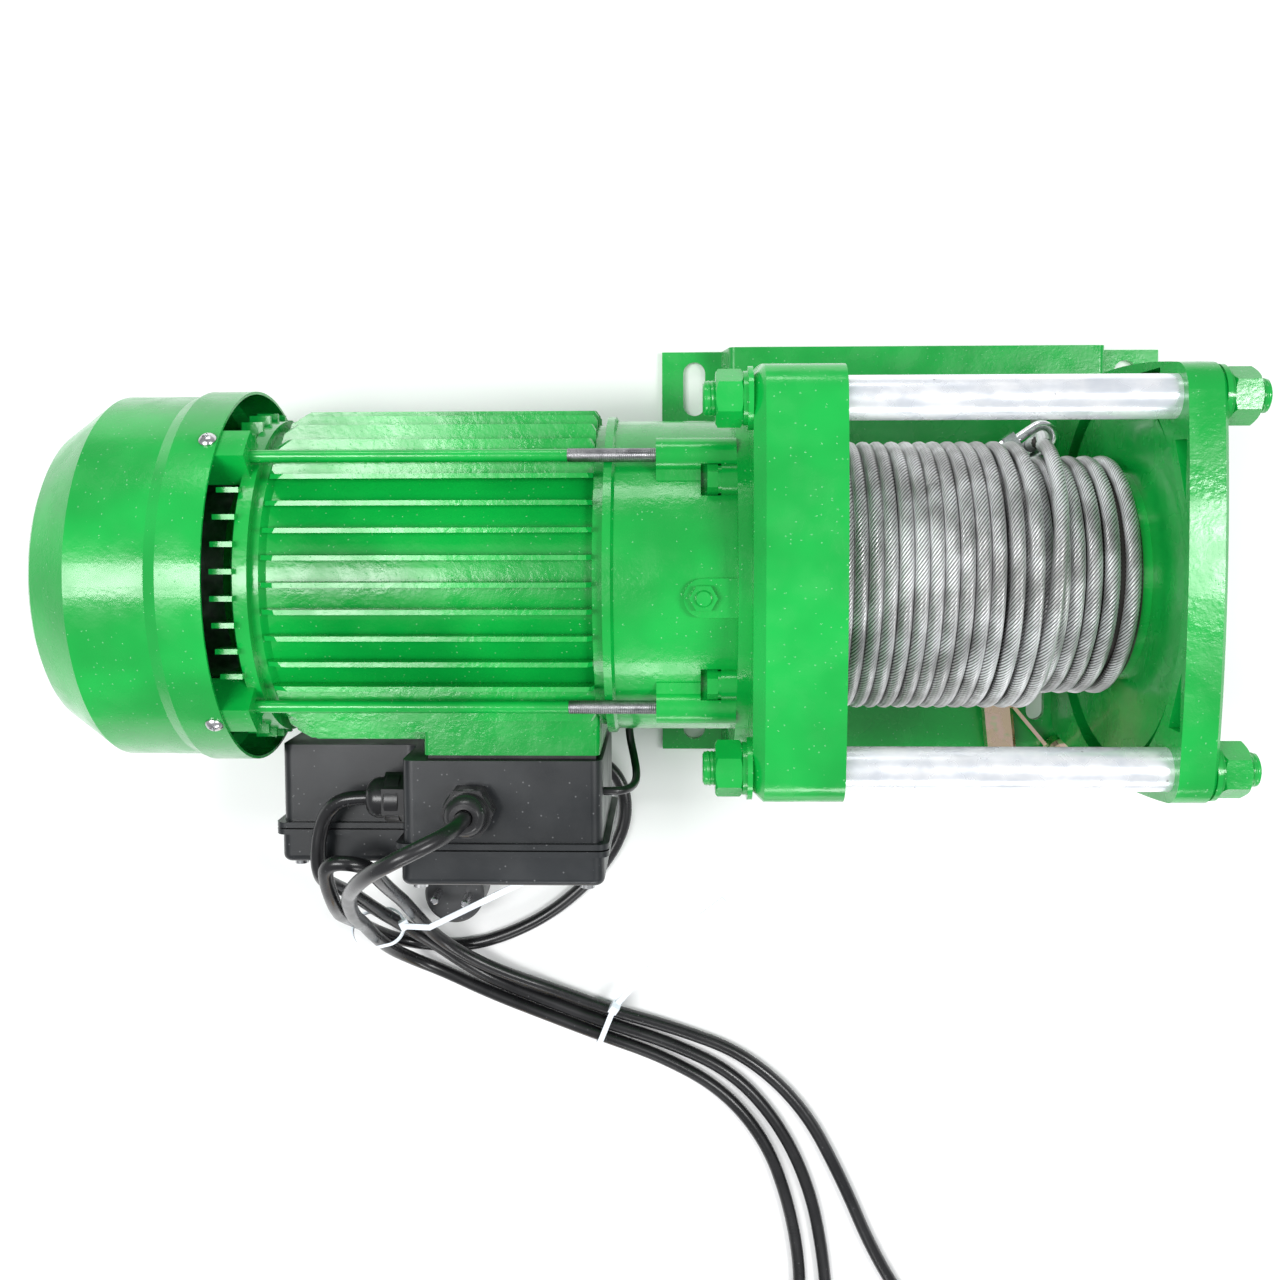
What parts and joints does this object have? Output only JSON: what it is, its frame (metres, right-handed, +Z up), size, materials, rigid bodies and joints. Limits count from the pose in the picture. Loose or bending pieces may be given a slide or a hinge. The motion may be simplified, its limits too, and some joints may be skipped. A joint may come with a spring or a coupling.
{
  "type": "electric winch",
  "caption": "Electric wire rope winch: finned motor with gearbox and brake, rope drum between two castings on a slotted base plate, terminal box, leads, plug and pendant.",
  "frame": {"origin": "middle of the base plate's underside, level with the surface it stands on", "axes": "+X along the drum's axis from the motor to the end bracket, +Z up, -Y towards the terminal box"},
  "size_m": [0.6255, 0.7562, 0.248],
  "materials": {
    "green_paint": "gloss",
    "zinc_plate": "satin",
    "bright_steel": "satin",
    "black_plastic": "satin",
    "dark_steel": "satin",
    "brake_lining": "matt",
    "copper": "satin",
    "wire_rope": "satin",
    "yellow_zinc": "satin",
    "seal_rubber": "matt",
    "capacitor_case": "satin",
    "white_plastic": "gloss",
    "lead_sheath": "satin",
    "yellow_plastic": "satin",
    "red_plastic": "gloss"
  },
  "bodies": {
    "frame": {"base_plate": "green_paint", "gear_casing": "green_paint", "end_bracket": "green_paint", "gearbox_housing": "green_paint", "stator_housing": "green_paint", "rear_end_bell": "green_paint", "fan_cowl": "green_paint", "tie_nuts": "green_paint", "breather_plug": "bright_steel", "base_bolts": "zinc_plate", "spacer_tubes": "zinc_plate", "tie_studs": "green_paint", "tie_washers": "green_paint", "gearbox_bolts": "green_paint", "motor_through_bolts": "green_paint", "cowl_screws": "zinc_plate", "brake_magnet": "dark_steel", "brake_plate": "bright_steel", "stator_core": "dark_steel", "stator_winding": "copper", "shaft_bearings": "bright_steel", "drum_axle": "bright_steel", "axle_circlips": "dark_steel", "rope_tail": "wire_rope", "u_bolt": "zinc_plate", "clip_saddle": "zinc_plate", "clip_nuts": "zinc_plate", "hook": "yellow_zinc", "latch_rivet": "zinc_plate", "terminal_box": "black_plastic", "box_lid": "black_plastic", "box_gaskets": "seal_rubber", "box_screws": "bright_steel", "capacitors": "capacitor_case", "terminal_block": "white_plastic", "gland_bodies": "black_plastic", "gland_nuts": "black_plastic", "control_cord": "lead_sheath", "mains_cord": "lead_sheath", "control_coil": "lead_sheath", "motor_leads": "lead_sheath", "plug_body": "black_plastic", "plug_pins": "bright_steel", "pendant_case": "yellow_plastic", "cable_ties": "white_plastic"},
    "drum": {"drum": "green_paint", "ring_gear": "dark_steel", "drum_bearings": "bright_steel", "wound_rope": "wire_rope"},
    "layshaft": {"layshaft": "dark_steel", "layshaft_wheel": "dark_steel"},
    "rotor": {"rotor_shaft": "bright_steel", "rotor_core": "dark_steel", "brake_disc": "brake_lining", "cooling_fan": "black_plastic"},
    "armature": {"brake_armature": "bright_steel"},
    "latch": {"hook_latch": "zinc_plate"},
    "up_key": {"up_button": "black_plastic"},
    "down_key": {"down_button": "black_plastic"},
    "stop_key": {"stop_button": "red_plastic"}
  },
  "joints": [
    {"name": "drum_spin", "type": "hinge", "parent": "frame", "child": "drum", "pos_m": [0, -0.0072, 0.138], "axis": [1, 0, 0], "continuous": true},
    {"name": "layshaft_spin", "type": "hinge", "parent": "frame", "child": "layshaft", "pos_m": [0, -0.0072, 0.09675], "axis": [1, 0, 0], "continuous": true},
    {"name": "rotor_spin", "type": "hinge", "parent": "frame", "child": "rotor", "pos_m": [0, -0.0072, 0.138], "axis": [1, 0, 0], "continuous": true},
    {"name": "brake_release", "type": "slide", "parent": "frame", "child": "armature", "axis": [1, 0, 0], "range_m": [0, 0.0006], "stiffness_N_per_m": 5000, "springref_m": -0.004},
    {"name": "latch_hinge", "type": "hinge", "parent": "frame", "child": "latch", "pos_m": [0.05533, -0.08903, 0.04578], "axis": [0.02, -0.1424, 0.9896], "range_deg": [-22, 0], "stiffness_Nm_per_rad": 0.02, "springref_deg": 11.46},
    {"name": "up_press", "type": "slide", "parent": "frame", "child": "up_key", "axis": [0, 0, -1], "range_m": [0, 0.003], "stiffness_N_per_m": 400, "springref_m": -0.002},
    {"name": "down_press", "type": "slide", "parent": "frame", "child": "down_key", "axis": [0, 0, -1], "range_m": [0, 0.003], "stiffness_N_per_m": 400, "springref_m": -0.002},
    {"name": "stop_press", "type": "slide", "parent": "frame", "child": "stop_key", "axis": [0, 0, -1], "range_m": [0, 0.004]}
  ],
  "couplings": [
    {"joint": "layshaft_spin", "follows": "drum_spin", "ratio": 5.7143},
    {"joint": "rotor_spin", "follows": "drum_spin", "ratio": -25.714}
  ]
}
